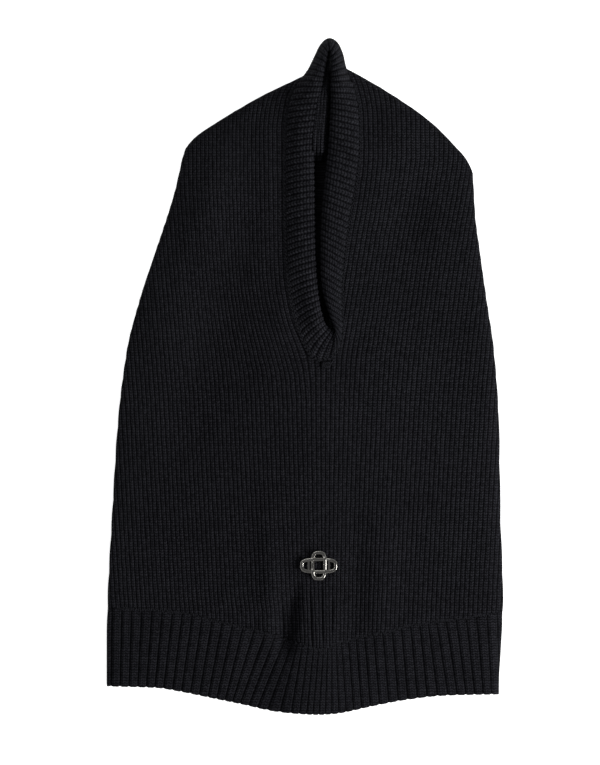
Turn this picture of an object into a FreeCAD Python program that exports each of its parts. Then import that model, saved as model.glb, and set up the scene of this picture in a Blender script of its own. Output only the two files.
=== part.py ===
import FreeCAD, Part

import math
import os

import Sketcher

# Knitted balaclava, lying flat on its back with the face opening up.
# X runs across the garment, Y from the neck hem to the crown, Z up through its thickness.
# The origin is the middle of the footprint, on the surface that the garment lies on.
# All sizes are in millimetres.

FABRIC = {
    "knit": 3.0,                # thickness of one layer of rib knit
    "hollow": 9.0,              # height of the space between the two layers
    "fold_radius": 6.0,         # rounding of the side and top folds
    "hem_bulge": 14.5,          # how far the lower edge bows down in the middle
    "join_bulge": 20.0,         # how far the join of body and hem bows down in the middle
    "side_bulge": 5.0,          # how far the sides bow out
    "shoulder_bulge": 2.8,      # rounding of the two shoulders
    "flank_bulge": 1.4,         # how far the sides bow out between shoulder and waist
    "linking_width": 2.6,       # width of a row of linking loops
    "linking_height": 1.2,      # how far it stands off the knit
    "seam_width": 2.4,          # width of an inside seam
    "seam_height": 1.5,
    "seam_gap": 0.2,            # clearance between an inside seam and the fold round it
}

TRIM = {
    "trim_drop": 0.5,           # how far the band reaches below the top of the hollow
    "trim_rise": 6.0,           # how far it stands above the front panel
    "trim_bevel": 2.5,          # bevel of its outer upper edge
    "trim_lie": 3.4,            # height of the underside of the peak
    "trim_end_bow": 1.2,        # how far the lower end of the band bows out
    "trim_turn_bow": 2.5,       # how far it bows out just above that end and below the top fold
    "peak_bow": 2.3,            # rounding of the peak's tip
    "slot_bow": 2.0,            # how far the slot's lower left edge bows out
    "chain_width": 1.8,         # the chain of linking stitches round the band
    "chain_height": 0.9,
    "tack_width": 6.5,
    "tack_length": 4.0,
    "tack_bow": 1.5,            # rounding of the tack's lower end
    "tack_height": 2.6,
    "tack_clear": 1.8,          # gap between the tack and the chain
}

BADGE = {
    "badge_x": 8.4,
    "badge_y": -115.2,
    "badge_width": 22.6,        # length of the level loop
    "badge_height": 18.0,       # length of the upright loop
    "badge_loop": 9.6,          # width of each loop
    "badge_stroke": 2.4,
    "badge_thick": 1.9,
    "badge_over": 0.5,          # extra height where the level loop crosses over
    "badge_bevel": 0.45,
    "leg_radius": 0.6,
    "leg_hole": 0.75,
    "leg_spacing": 13.0,
    "leg_end": 0.9,             # length of a leg below the front panel
    "plate_width": 18.0,
    "plate_height": 10.0,
    "plate_thick": 0.8,
    "plate_round": 2.0,
}

LABELS = {
    "label_thick": 0.5,
    "label_width": 46.0,
    "label_height": 20.0,
    "label_y": -112.0,
    "care_width": 24.0,         # along the side seam
    "care_length": 26.0,        # from the seam to the fold of the label
    "care_thick": 1.0,          # folded double
    "care_x": -110.5,
    "care_y": -95.0,
    "tack_thread_width": 1.0,
    "tack_thread_length": 4.0,
    "tack_thread_height": 0.4,
}

# Corners of the outlines, as seen from above.
CORNERS = {
    "hem_left": (-120.8, -189.5),
    "hem_right": (118.5, -194.0),
    "join_left": (-119.4, -141.0),
    "join_right": (120.8, -143.0),
    "side_left": (-102.0, 44.0),
    "side_right": (112.0, 40.0),
    "shoulder_left": (-77.0, 123.0),
    "shoulder_right": (103.0, 112.0),
    "roof_left": (-63.5, 148.5),
    "roof_right": (85.0, 147.5),
    "foot_left": (-4.0, 181.5),
    "foot_right": (31.5, 184.5),
    "trim_left_high": (-10.5, 163.0),
    "trim_left_low": (-9.0, 50.0),
    "trim_end_left": (5.0, 13.5),
    "trim_end_right": (21.5, 21.0),
    "trim_right_low": (22.5, 52.0),
    "trim_right_high": (32.5, 160.0),
    "peak_left": (9.0, 204.2),
    "peak_right": (20.5, 204.2),
    "slot_top": (14.7, 198.5),
    "slot_left_high": (5.2, 152.0),
    "slot_left_low": (6.2, 62.0),
    "slot_bottom": (18.0, 29.0),
    "slot_right_low": (10.6, 56.0),
    "slot_right_high": (14.8, 150.0),
}


class Size:
    """A size that knows its value and the spreadsheet expression that gives it."""

    def __init__(self, value, text):
        self.value = value
        self.text = text

    def __add__(self, other):
        other = as_size(other)
        return Size(self.value + other.value, f"({self.text} + {other.text})")

    def __sub__(self, other):
        other = as_size(other)
        return Size(self.value - other.value, f"({self.text} - {other.text})")

    def __mul__(self, other):
        other = as_size(other)
        return Size(self.value * other.value, f"({self.text} * {other.text})")

    def __truediv__(self, other):
        other = as_size(other)
        return Size(self.value / other.value, f"({self.text} / {other.text})")


def as_size(number):
    if isinstance(number, Size):
        return number
    return Size(float(number), f"({float(number):.9f})")


doc = FreeCAD.newDocument("Balaclava")


def make_sheet():
    """Write every driving dimension into the sheet and return them by alias."""
    sheet = doc.addObject("Spreadsheet::Sheet", "Dims")
    values = {}
    for group in (FABRIC, TRIM, BADGE, LABELS):
        values.update(group)
    for name, (x, y) in CORNERS.items():
        values[f"{name}_x"] = x
        values[f"{name}_y"] = y
    sizes = {}
    for row, (alias, value) in enumerate(values.items(), start=1):
        sheet.set(f"A{row}", alias)
        sheet.set(f"B{row}", str(value))
        sheet.setAlias(f"B{row}", alias)
        sizes[alias] = Size(float(value), f"Dims.{alias}")
    doc.recompute()
    return sizes


DIM = make_sheet()

# Heights of the layers above the surface that the garment lies on.
BACK_TOP = DIM["knit"]
FRONT_UNDER = DIM["knit"] + DIM["hollow"]
FRONT_TOP = FRONT_UNDER + DIM["knit"]


def corner(name, bulge=None):
    """A corner of an outline. bulge: how far the edge that leaves it bows outward."""
    return (DIM[f"{name}_x"], DIM[f"{name}_y"], bulge)


def at(x, y, bulge=None):
    return (as_size(x), as_size(y), bulge)


def offset(corners, distance):
    """The same outline moved outward by distance, or inward where it is negative."""
    moved = []
    count = len(corners)
    for index, (x, y, bulge) in enumerate(corners):
        before = corners[index - 1]
        after = corners[(index + 1) % count]
        normals = []
        for start, end in ((before, corners[index]), (corners[index], after)):
            run_x = end[0].value - start[0].value
            run_y = end[1].value - start[1].value
            run = math.hypot(run_x, run_y)
            normals.append((run_y / run, -run_x / run))
        sum_x = normals[0][0] + normals[1][0]
        sum_y = normals[0][1] + normals[1][1]
        scale = 2.0 / (sum_x ** 2 + sum_y ** 2)
        moved.append((x + distance * (sum_x * scale), y + distance * (sum_y * scale), bulge))
    return moved


FILLET = "PartDesign::Fillet"
CHAMFER = "PartDesign::Chamfer"


def new_body(label):
    body = doc.addObject("PartDesign::Body", label)
    body.Label = label
    return body


def new_sketch(body, name, height):
    """An empty sketch on the body's own XY plane, raised to a height."""
    sketch = body.newObject("Sketcher::SketchObject", name)
    planes = [plane for plane in body.Origin.OriginFeatures if plane.Role == "XY_Plane"]
    sketch.AttachmentSupport = (planes[0], [""])
    sketch.MapMode = "FlatFace"
    sketch.setExpression("AttachmentOffset.Base.z", as_size(height).text)
    return sketch


def bind(sketch, constraint, size):
    index = sketch.addConstraint(constraint)
    sketch.setExpression(f"Constraints[{index}]", size.text)


def draw_outline(sketch, corners):
    """Draw a closed outline, anticlockwise, with each corner bound to the sheet."""
    edges = []
    count = len(corners)
    for index, (x, y, bulge) in enumerate(corners):
        end_x, end_y, _ = corners[(index + 1) % count]
        start = FreeCAD.Vector(x.value, y.value, 0)
        end = FreeCAD.Vector(end_x.value, end_y.value, 0)
        if bulge is None:
            edge = Part.LineSegment(start, end)
        else:
            run = end - start
            outward = FreeCAD.Vector(run.y, -run.x, 0).normalize()
            middle = (start + end) * 0.5 + outward * bulge.value
            edge = Part.Arc(start, middle, end)
        number = sketch.addGeometry(edge, False)
        first = sketch.getPoint(number, 1)
        leaves = 1 if first.distanceToPoint(start) < 1e-6 else 2
        edges.append((number, leaves))
    for index, (number, leaves) in enumerate(edges):
        next_number, next_leaves = edges[(index + 1) % count]
        sketch.addConstraint(
            Sketcher.Constraint("Coincident", number, 3 - leaves, next_number, next_leaves))
    for (number, leaves), (x, y, bulge) in zip(edges, corners):
        bind(sketch, Sketcher.Constraint("DistanceX", number, leaves, x.value), x)
        bind(sketch, Sketcher.Constraint("DistanceY", number, leaves, y.value), y)
    for index, (number, leaves) in enumerate(edges):
        x, y, bulge = corners[index]
        if bulge is None:
            continue
        end_x, end_y, _ = corners[(index + 1) % count]
        run_x = end_x - x
        run_y = end_y - y
        depth = bulge * -1 if bulge.value < 0 else bulge
        radius = (run_x * run_x + run_y * run_y) / (depth * 8) + depth / 2
        bind(sketch, Sketcher.Constraint("Radius", number, radius.value), radius)


def draw_circle(sketch, x, y, radius):
    centre = FreeCAD.Vector(x.value, y.value, 0)
    up = FreeCAD.Vector(0, 0, 1)
    number = sketch.addGeometry(Part.Circle(centre, up, radius.value), False)
    bind(sketch, Sketcher.Constraint("DistanceX", number, 3, x.value), x)
    bind(sketch, Sketcher.Constraint("DistanceY", number, 3, y.value), y)
    bind(sketch, Sketcher.Constraint("Radius", number, radius.value), radius)


def pad(body, name, outlines, bottom, top):
    """A plate between two heights, with one or more separate outlines."""
    sketch = new_sketch(body, f"{name}_outline", bottom)
    for corners in outlines:
        draw_outline(sketch, corners)
    feature = body.newObject("PartDesign::Pad", name)
    feature.Profile = sketch
    feature.setExpression("Length", (as_size(top) - bottom).text)
    doc.recompute()
    return feature


def cut_down(body, name, draw, top, depth):
    """Cut from a height downward. draw puts the outline into the sketch."""
    sketch = new_sketch(body, f"{name}_outline", top)
    draw(sketch)
    volume = body.Shape.Volume
    feature = body.newObject("PartDesign::Pocket", name)
    feature.Profile = sketch
    feature.setExpression("Length", as_size(depth).text)
    doc.recompute()
    if body.Shape.Volume >= volume:
        raise RuntimeError(f"{body.Label}: {name} cut nothing")
    return feature


def dress_edges(body, kind, name, size, wanted):
    """Fillet or chamfer those edges of the body that the function wanted picks."""
    base = body.Tip
    names = []
    for number, edge in enumerate(base.Shape.Edges, start=1):
        if wanted(edge):
            names.append(f"Edge{number}")
    feature = body.newObject(kind, name)
    feature.Base = (base, names)
    feature.setExpression("Radius" if kind == FILLET else "Size", size.text)
    doc.recompute()
    return feature


def lies_at(edge, height):
    box = edge.BoundBox
    return abs(box.ZMin - height.value) < 0.01 and abs(box.ZMax - height.value) < 0.01


def middle_of(edge):
    return edge.valueAt((edge.FirstParameter + edge.LastParameter) / 2)


# Outlines

BODY_EDGES = (
    ("join_left", "join_bulge"),
    ("join_right", "side_bulge"),
    ("side_right", "flank_bulge"),
    ("shoulder_right", "shoulder_bulge"),
    ("roof_right", None),
    ("foot_right", None),
    ("foot_left", None),
    ("roof_left", "shoulder_bulge"),
    ("shoulder_left", "flank_bulge"),
    ("side_left", "side_bulge"),
)


def body_outline():
    """Body and hood above the join with the hem, without the peak of the trim."""
    corners = []
    for name, bow in BODY_EDGES:
        corners.append(corner(name, None if bow is None else DIM[bow]))
    return corners


def hem_outline():
    """Hem band, between the join and the lower edge. The join bows into it."""
    return [
        corner("hem_left", DIM["hem_bulge"]),
        corner("hem_right"),
        corner("join_right", DIM["join_bulge"] * -1),
        corner("join_left"),
    ]


def peak_outline(spread):
    """The part of the trim beyond the top fold. spread moves its tip out."""
    return [
        corner("foot_right"),
        at(DIM["peak_right_x"] + spread, DIM["peak_right_y"] + spread, DIM["peak_bow"]),
        at(DIM["peak_left_x"] - spread, DIM["peak_left_y"] + spread),
        corner("foot_left"),
    ]


def trim_sides():
    """Outer edge of the trim on the front panel, from its upper left round to its upper right."""
    return [
        corner("trim_left_high"),
        corner("trim_left_low", DIM["trim_turn_bow"]),
        corner("trim_end_left", DIM["trim_end_bow"]),
        corner("trim_end_right"),
        corner("trim_right_low"),
        corner("trim_right_high", DIM["trim_turn_bow"]),
    ]


def trim_outline(spread=0):
    """Outer edge of the whole band round the face opening."""
    return trim_sides() + peak_outline(spread)


def slot_outline():
    """The face opening between the two sides of the band, as it lies closed."""
    return [
        corner("slot_bottom"),
        corner("slot_right_low"),
        corner("slot_right_high"),
        corner("slot_top"),
        corner("slot_left_high"),
        corner("slot_left_low", DIM["slot_bow"]),
    ]


def hollow_outline(corners, open_edges):
    """Space between the layers: the outline less one knit, run on past its open edges.

    open_edges gives each open edge as its first corner's number and the way it moves in Y.
    """
    beyond = DIM["join_bulge"] * 2
    inner = offset(corners, DIM["knit"] * -1)
    for first, way in open_edges:
        second = first + 1
        inner[first] = (inner[first][0], inner[first][1] + beyond * way, None)
        inner[second] = (inner[second][0], inner[second][1] + beyond * way, inner[second][2])
    return inner


def strip_between(outer, inner):
    """Outline of the strip between two parallel runs of corners, outer one anticlockwise."""
    corners = list(outer[:-1])
    corners.append((outer[-1][0], outer[-1][1], None))
    for index in range(len(inner) - 1, 0, -1):
        bow = inner[index - 1][2]
        corners.append((inner[index][0], inner[index][1], None if bow is None else bow * -1))
    corners.append((inner[0][0], inner[0][1], None))
    return corners


# Pieces

def draw_leg_holes(sketch):
    for side in (-1, 1):
        x = DIM["badge_x"] + DIM["leg_spacing"] * (side / 2)
        draw_circle(sketch, x, DIM["badge_y"], DIM["leg_hole"])


def make_front_panel():
    """Front layer, bent down at the sides and at the top onto the back layer."""
    body = new_body("front_panel")
    pad(body, "front_block", [body_outline()], BACK_TOP, FRONT_TOP)
    join_middle = DIM["join_left_y"].value - DIM["join_bulge"].value / 2

    def on_fold(edge):
        return lies_at(edge, FRONT_TOP) and middle_of(edge).y > join_middle

    dress_edges(body, FILLET, "front_fold", DIM["fold_radius"], on_fold)
    inner = hollow_outline(body_outline(), [(0, -1)])
    cut_down(body, "front_hollow", lambda sketch: draw_outline(sketch, inner),
             FRONT_UNDER, DIM["hollow"] + 1)
    cutout = trim_outline(DIM["knit"] * 4)
    cut_down(body, "face_cutout", lambda sketch: draw_outline(sketch, cutout),
             FRONT_TOP + 1, FRONT_TOP + 2)
    cut_down(body, "leg_holes", draw_leg_holes, FRONT_TOP + 1, DIM["knit"] + 2)
    return body


def make_front_hem():
    """Front layer of the hem band, bent down at the sides onto the back layer."""
    body = new_body("front_hem_band")
    pad(body, "hem_block", [hem_outline()], BACK_TOP, FRONT_TOP)
    near_side = DIM["hem_right_x"].value - DIM["fold_radius"].value

    def on_fold(edge):
        return lies_at(edge, FRONT_TOP) and abs(middle_of(edge).x) > near_side

    dress_edges(body, FILLET, "hem_fold", DIM["fold_radius"], on_fold)
    inner = hollow_outline(hem_outline(), [(0, -1), (2, 1)])
    cut_down(body, "hem_hollow", lambda sketch: draw_outline(sketch, inner),
             FRONT_UNDER, DIM["hollow"] + 1)
    return body


def make_layer(label, outline, bottom, thick):
    """A flat piece of one thickness."""
    body = new_body(label)
    pad(body, f"{label}_layer", [outline], bottom, bottom + thick)
    return body


def make_hem_linking(label, bottom, inset):
    """Row of linking loops over the join of body and hem, as a low ridge."""
    half = DIM["linking_width"] / 2
    runs = []
    for shift in (half * -1, half):
        left = at(DIM["join_left_x"] + inset, DIM["join_left_y"] + shift, DIM["join_bulge"])
        right = at(DIM["join_right_x"] - inset, DIM["join_right_y"] + shift)
        runs.append([left, right])
    return make_layer(label, strip_between(*runs), bottom, DIM["linking_height"])


def make_face_trim():
    """Folded double band: a thick rounded ring whose peak folds down onto the back."""
    body = new_body("face_trim")
    under = FRONT_UNDER - DIM["trim_drop"]
    top = FRONT_TOP + DIM["trim_rise"]
    pad(body, "band", [trim_outline()], under, top)
    pad(body, "peak_fold", [peak_outline(0)], DIM["trim_lie"], top)
    dress_edges(body, CHAMFER, "band_bevel", DIM["trim_bevel"], lambda edge: lies_at(edge, top))
    cut_down(body, "slot", lambda sketch: draw_outline(sketch, slot_outline()),
             top + 1, top + 2)
    return body


def make_trim_chain():
    """Chain of linking stitches on the front panel, round the foot of the trim."""
    count = len(trim_sides())
    inner = trim_outline()[:count]
    outer = offset(trim_outline(), DIM["chain_width"])[:count]
    return make_layer("trim_linking_chain", strip_between(outer, inner), FRONT_TOP,
                      DIM["chain_height"])


def make_bar_tack():
    """Bulky tack of yarn just below the point where the two ends of the trim meet."""
    middle_x = (DIM["trim_end_left_x"] + DIM["trim_end_right_x"]) / 2
    high_y = DIM["trim_end_left_y"] - DIM["chain_width"] - DIM["tack_clear"]
    low_y = high_y - DIM["tack_length"]
    half = DIM["tack_width"] / 2
    outline = [
        at(middle_x - half, low_y, DIM["tack_bow"]),
        at(middle_x + half, low_y),
        at(middle_x + half, high_y),
        at(middle_x - half, high_y),
    ]
    return make_layer("trim_bar_tack", outline, FRONT_TOP, DIM["tack_height"])


def make_fold_seam(label, start_name):
    """Inside seam that follows one edge of the outline, lying on the back layer."""
    outline = body_outline()
    names = [name for name, bow in BODY_EDGES]
    start = names.index(start_name)
    end = (start + 1) % len(names)
    near = offset(outline, (DIM["knit"] + DIM["seam_gap"]) * -1)
    far = offset(outline, (DIM["knit"] + DIM["seam_gap"] + DIM["seam_width"]) * -1)
    strip = strip_between([near[start], near[end]], [far[start], far[end]])
    return make_layer(label, strip, BACK_TOP, DIM["seam_height"])


def box_outline(x, y, width, height):
    half_x = width / 2
    half_y = height / 2
    return [
        at(x - half_x, y - half_y), at(x + half_x, y - half_y),
        at(x + half_x, y + half_y), at(x - half_x, y + half_y),
    ]


def is_upright(edge):
    box = edge.BoundBox
    return box.ZMax - box.ZMin > 0.1 and box.XMax - box.XMin < 0.001 and box.YMax - box.YMin < 0.001


def make_loop(name, length_x, length_y):
    """One rounded loop of the badge, with its upper edges bevelled."""
    body = new_body(name)
    x = DIM["badge_x"]
    y = DIM["badge_y"]
    stroke = DIM["badge_stroke"]
    top = FRONT_TOP + DIM["badge_thick"]
    pad(body, f"{name}_block", [box_outline(x, y, length_x, length_y)], FRONT_TOP, top)
    hole = box_outline(x, y, length_x - stroke * 2, length_y - stroke * 2)
    cut_down(body, f"{name}_hole", lambda sketch: draw_outline(sketch, hole),
             top + 1, DIM["badge_thick"] + 2)
    nearly_round = 0.98
    outer_x = length_x.value / 2 - 0.1

    def on_outside(edge):
        return is_upright(edge) and abs(middle_of(edge).x - x.value) > outer_x

    def on_inside(edge):
        return is_upright(edge) and abs(abs(middle_of(edge).x - x.value)
                                        - length_x.value / 2 + stroke.value) < 0.1

    radius = DIM["badge_loop"] / 2
    dress_edges(body, FILLET, f"{name}_outside", radius * nearly_round, on_outside)
    dress_edges(body, FILLET, f"{name}_inside", (radius - stroke) * nearly_round, on_inside)
    dress_edges(body, CHAMFER, f"{name}_bevel", DIM["badge_bevel"],
                lambda edge: lies_at(edge, top))
    return body


def make_badge():
    """Cast ornament: an upright and a level loop that pass over and under each other."""
    upright = make_loop("upright_loop", DIM["badge_loop"], DIM["badge_height"])
    level = make_loop("level_loop", DIM["badge_width"], DIM["badge_loop"])
    return finish_badge([upright, level])


def finish_badge(loops):
    """Join the loops. At each crossing one of them passes over, as a raised bridge."""
    reach = (DIM["badge_loop"] - DIM["badge_stroke"]) / 2
    long_side = DIM["badge_stroke"] * 2
    short_side = DIM["badge_stroke"] - DIM["badge_bevel"] * 2
    bridges = []
    for side_x, side_y in ((-1, -1), (1, 1), (1, -1), (-1, 1)):
        level_over = side_x == side_y
        length = long_side if level_over else short_side
        width = short_side if level_over else long_side
        bridge = doc.addObject("Part::Box", "Bridge")
        bridge.setExpression("Length", length.text)
        bridge.setExpression("Width", width.text)
        bridge.setExpression("Height", (DIM["badge_thick"] + DIM["badge_over"]).text)
        x = DIM["badge_x"] + reach * side_x - length / 2
        y = DIM["badge_y"] + reach * side_y - width / 2
        bridge.setExpression("Placement.Base.x", x.text)
        bridge.setExpression("Placement.Base.y", y.text)
        bridge.setExpression("Placement.Base.z", FRONT_TOP.text)
        bridges.append(bridge)
    badge = doc.addObject("Part::MultiFuse", "badge_emblem")
    badge.Label = "badge_emblem"
    badge.Shapes = loops + bridges
    doc.recompute()
    return badge


def make_badge_legs():
    """Two legs that go down through the front panel and the plate behind it."""
    legs = []
    length = DIM["knit"] + DIM["leg_end"]
    for side in (-1, 1):
        leg = doc.addObject("Part::Cylinder", "Leg")
        leg.setExpression("Radius", DIM["leg_radius"].text)
        leg.setExpression("Height", length.text)
        x = DIM["badge_x"] + DIM["leg_spacing"] * (side / 2)
        leg.setExpression("Placement.Base.x", x.text)
        leg.setExpression("Placement.Base.y", DIM["badge_y"].text)
        leg.setExpression("Placement.Base.z", (FRONT_TOP - length).text)
        legs.append(leg)
    pair = doc.addObject("Part::Compound", "badge_legs")
    pair.Label = "badge_legs"
    pair.Links = legs
    doc.recompute()
    return pair


def make_plate():
    """Backing plate under the front panel, with a hole for each leg."""
    body = new_body("badge_backing_plate")
    outline = box_outline(DIM["badge_x"], DIM["badge_y"], DIM["plate_width"],
                          DIM["plate_height"])
    pad(body, "plate", [outline], FRONT_UNDER - DIM["plate_thick"], FRONT_UNDER)
    cut_down(body, "plate_holes", draw_leg_holes, FRONT_UNDER + 1, DIM["plate_thick"] + 2)
    corner_x = DIM["plate_width"].value / 2 - 0.1

    def at_corner(edge):
        return is_upright(edge) and abs(middle_of(edge).x - DIM["badge_x"].value) > corner_x

    dress_edges(body, FILLET, "plate_round", DIM["plate_round"], at_corner)
    return body


def make_tacks(label, spots, bottom):
    """Short tacks of thread through a label."""
    body = new_body(label)
    outlines = []
    for x, y in spots:
        outlines.append(box_outline(x, y, DIM["tack_thread_width"], DIM["tack_thread_length"]))
    pad(body, f"{label}_threads", outlines, bottom, bottom + DIM["tack_thread_height"])
    return body


def make_neck_label():
    """Blank neck label on the back layer, with a tack near each corner."""
    outline = box_outline(as_size(0), DIM["label_y"], DIM["label_width"], DIM["label_height"])
    label = make_layer("neck_label", outline, BACK_TOP, DIM["label_thick"])
    reach_x = DIM["label_width"] / 2 - DIM["tack_thread_width"]
    reach_y = DIM["label_height"] / 2 - DIM["tack_thread_length"]
    spots = []
    for side_x in (-1, 1):
        for side_y in (-1, 1):
            spots.append((reach_x * side_x, DIM["label_y"] + reach_y * side_y))
    tacks = make_tacks("neck_label_stitches", spots, BACK_TOP + DIM["label_thick"])
    return [label, tacks]


def make_care_label():
    """Blank care label, folded double, with its cut ends at the left side seam."""
    middle_x = DIM["care_x"] + DIM["care_length"] / 2
    outline = box_outline(middle_x, DIM["care_y"], DIM["care_length"], DIM["care_width"])
    label = make_layer("care_label", outline, BACK_TOP, DIM["care_thick"])
    tack_x = DIM["care_x"] + DIM["tack_thread_width"] * 2
    spots = []
    for side in (-1, 1):
        spots.append((tack_x, DIM["care_y"] + DIM["care_width"] * (side / 4)))
    tacks = make_tacks("care_label_stitches", spots, BACK_TOP + DIM["care_thick"])
    return [label, tacks]


def make_pieces():
    flat = as_size(0)
    pieces = [
        make_front_panel(),
        make_layer("back_panel", body_outline(), flat, DIM["knit"]),
        make_front_hem(),
        make_layer("back_hem_band", hem_outline(), flat, DIM["knit"]),
        make_hem_linking("front_hem_linking", FRONT_TOP, DIM["fold_radius"] + 1),
        make_hem_linking("back_hem_linking", BACK_TOP, DIM["knit"] + 1),
        make_face_trim(),
        make_trim_chain(),
        make_bar_tack(),
        make_fold_seam("side_seam_right", "join_right"),
        make_fold_seam("crown_seam_right", "roof_right"),
        make_fold_seam("crown_seam_left", "foot_left"),
        make_fold_seam("side_seam_left", "side_left"),
        make_badge(),
        make_badge_legs(),
        make_plate(),
    ]
    pieces.extend(make_neck_label())
    pieces.extend(make_care_label())
    return pieces


def check_and_write(pieces):
    doc.recompute()
    for item in doc.Objects:
        if "Invalid" in item.State or "Error" in item.State:
            raise RuntimeError(f"{item.Label} failed: {item.State}")
    for piece in pieces:
        shape = piece.Shape
        if shape.isNull() or not shape.isValid() or not shape.Solids:
            raise RuntimeError(f"{piece.Label} has no valid solid")
    os.makedirs("parts", exist_ok=True)
    for piece in pieces:
        piece.Shape.exportStep(f"parts/{piece.Label}.step")
        box = piece.Shape.BoundBox
        print(f"{piece.Label:22s} solids {len(piece.Shape.Solids)}"
              f" volume {piece.Shape.Volume:9.1f}"
              f" x {box.XMin:7.1f} {box.XMax:7.1f}"
              f" y {box.YMin:7.1f} {box.YMax:7.1f}"
              f" z {box.ZMin:5.1f} {box.ZMax:5.1f}")


check_and_write(make_pieces())
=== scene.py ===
import math

import bpy
import numpy as np
from mathutils import Matrix, Vector


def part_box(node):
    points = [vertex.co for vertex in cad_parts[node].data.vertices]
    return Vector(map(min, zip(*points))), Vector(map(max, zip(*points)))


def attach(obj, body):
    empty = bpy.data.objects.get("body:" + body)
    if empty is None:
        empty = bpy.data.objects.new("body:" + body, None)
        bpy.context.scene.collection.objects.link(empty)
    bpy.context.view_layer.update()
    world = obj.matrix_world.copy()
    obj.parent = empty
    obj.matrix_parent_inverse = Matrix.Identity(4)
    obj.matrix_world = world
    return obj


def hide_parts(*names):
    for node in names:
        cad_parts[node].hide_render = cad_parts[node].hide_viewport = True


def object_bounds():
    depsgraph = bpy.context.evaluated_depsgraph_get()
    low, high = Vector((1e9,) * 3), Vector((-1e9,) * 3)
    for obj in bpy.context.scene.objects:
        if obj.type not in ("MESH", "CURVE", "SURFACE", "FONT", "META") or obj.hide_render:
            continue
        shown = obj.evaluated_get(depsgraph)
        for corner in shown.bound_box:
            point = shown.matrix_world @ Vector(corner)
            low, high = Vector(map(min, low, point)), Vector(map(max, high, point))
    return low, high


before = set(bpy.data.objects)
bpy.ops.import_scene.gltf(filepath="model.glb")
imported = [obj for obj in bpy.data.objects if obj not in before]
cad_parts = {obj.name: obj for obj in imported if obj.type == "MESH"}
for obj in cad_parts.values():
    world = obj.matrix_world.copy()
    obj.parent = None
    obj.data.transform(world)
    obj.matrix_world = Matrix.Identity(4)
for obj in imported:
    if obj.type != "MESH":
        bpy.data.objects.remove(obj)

# A black knitted balaclava lies on its back with the face opening up: X across, Y towards the
# crown, Z up. The shapes are in millimetres, and MM turns them into metres when a mesh is made.
# The camera's height, the lights and the bump of the materials are in metres.

MM = 0.001
CAD_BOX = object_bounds()


def node_box(node):
    low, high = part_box(node)
    return np.array(low) / MM, np.array(high) / MM


BODY_TOP = node_box("front_panel")[1][2]
BACK_LOW, BACK_HIGH = node_box("back_panel")
BADGE_LOW, BADGE_HIGH = node_box("badge_emblem")

KNIT = BACK_HIGH[2] - BACK_LOW[2]       # thickness of one layer in the frame
FRONT_LAYER = KNIT * 0.5                # thickness of the front layer, less its ribs
BACK_LAYER = KNIT * 0.8                 # thickness of the back layer, less its ribs
FRONT_Z = BODY_TOP - 1.1                # foot of the ribs on the front, between the folds
BACK_Z = 0.55                           # foot of the ribs on the back
FOLD_Z = 5.4                            # height at which the folds turn under
FOLD_REACH = 10.5                       # how far in from a fold the layer is still rounding

# ------------------------------------------------------------------ curves and small helpers


def curve(points, at):
    """Smooth curve through (key, value) points without overshoot, read at the given keys."""
    keys = np.array([point[0] for point in points], float)
    values = np.array([point[1] for point in points], float)
    gaps = np.diff(keys)
    slopes = np.diff(values) / gaps
    tangents = np.zeros(len(keys))
    tangents[0] = slopes[0]
    tangents[-1] = slopes[-1]
    before, after = slopes[:-1], slopes[1:]
    same_way = before * after > 0
    safe = np.where(same_way, before + after, 1.0)
    tangents[1:-1] = np.where(same_way, 2 * before * after / safe, 0.0)
    at = np.clip(np.asarray(at, float), keys[0], keys[-1])
    index = np.clip(np.searchsorted(keys, at) - 1, 0, len(keys) - 2)
    gap = gaps[index]
    part = (at - keys[index]) / gap
    square, cube = part ** 2, part ** 3
    return (
        values[index] * (2 * cube - 3 * square + 1)
        + tangents[index] * gap * (cube - 2 * square + part)
        + values[index + 1] * (3 * square - 2 * cube)
        + tangents[index + 1] * gap * (cube - square)
    )


def bell(value, middle, width):
    return np.exp(-((value - middle) / width) ** 2)


def ramp(value, start, end):
    """0 before start, 1 after end, smooth between."""
    part = np.clip((value - start) / (end - start), 0, 1)
    return part * part * (3 - 2 * part)


def unit(vectors):
    return vectors / np.linalg.norm(vectors, axis=-1, keepdims=True)


def ahead_along(ring):
    """Direction of travel at each point of a closed run."""
    return np.roll(ring, -1, 0) - np.roll(ring, 1, 0)


def smooth_run(before, start, end, after):
    """Points of a Catmull-Rom curve from each start to its end, in 24 steps each."""
    fine = []
    for p0, p1, p2, p3 in zip(before, start, end, after):
        for t in np.arange(24) / 24:
            fine.append(0.5 * ((2 * p1) + (p2 - p0) * t + (2 * p0 - 5 * p1 + 4 * p2 - p3) * t * t
                               + (3 * p1 - p0 - 3 * p2 + p3) * t ** 3))
    return np.array(fine)


def closed_curve(stations):
    """Points on a smooth closed curve through the stations (any number of columns)."""
    stations = np.array(stations, float)
    return smooth_run(*(np.roll(stations, shift, 0) for shift in (1, 0, -1, -2)))


def open_curve(stations):
    """Points on a smooth curve from the first station to the last."""
    stations = np.array(stations, float)
    first = 2 * stations[:1] - stations[1:2]
    last = 2 * stations[-1:] - stations[-2:-1]
    run = np.concatenate([first, stations, last])
    fine = smooth_run(run[:-3], run[1:-2], run[2:-1], run[3:])
    return np.concatenate([fine, stations[-1:]])


def lengths_along(points):
    steps = np.linalg.norm(np.diff(points, axis=0), axis=1)
    return np.concatenate([[0.0], np.cumsum(steps)])


def read_columns(points, run, at):
    return np.stack([np.interp(at, run, column) for column in points.T], 1)


def resample_open(points, count):
    """The open run of points at even steps of its own length, with that length."""
    run = lengths_along(points)
    return read_columns(points, run, np.linspace(0, run[-1], count)), run[-1]


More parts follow.
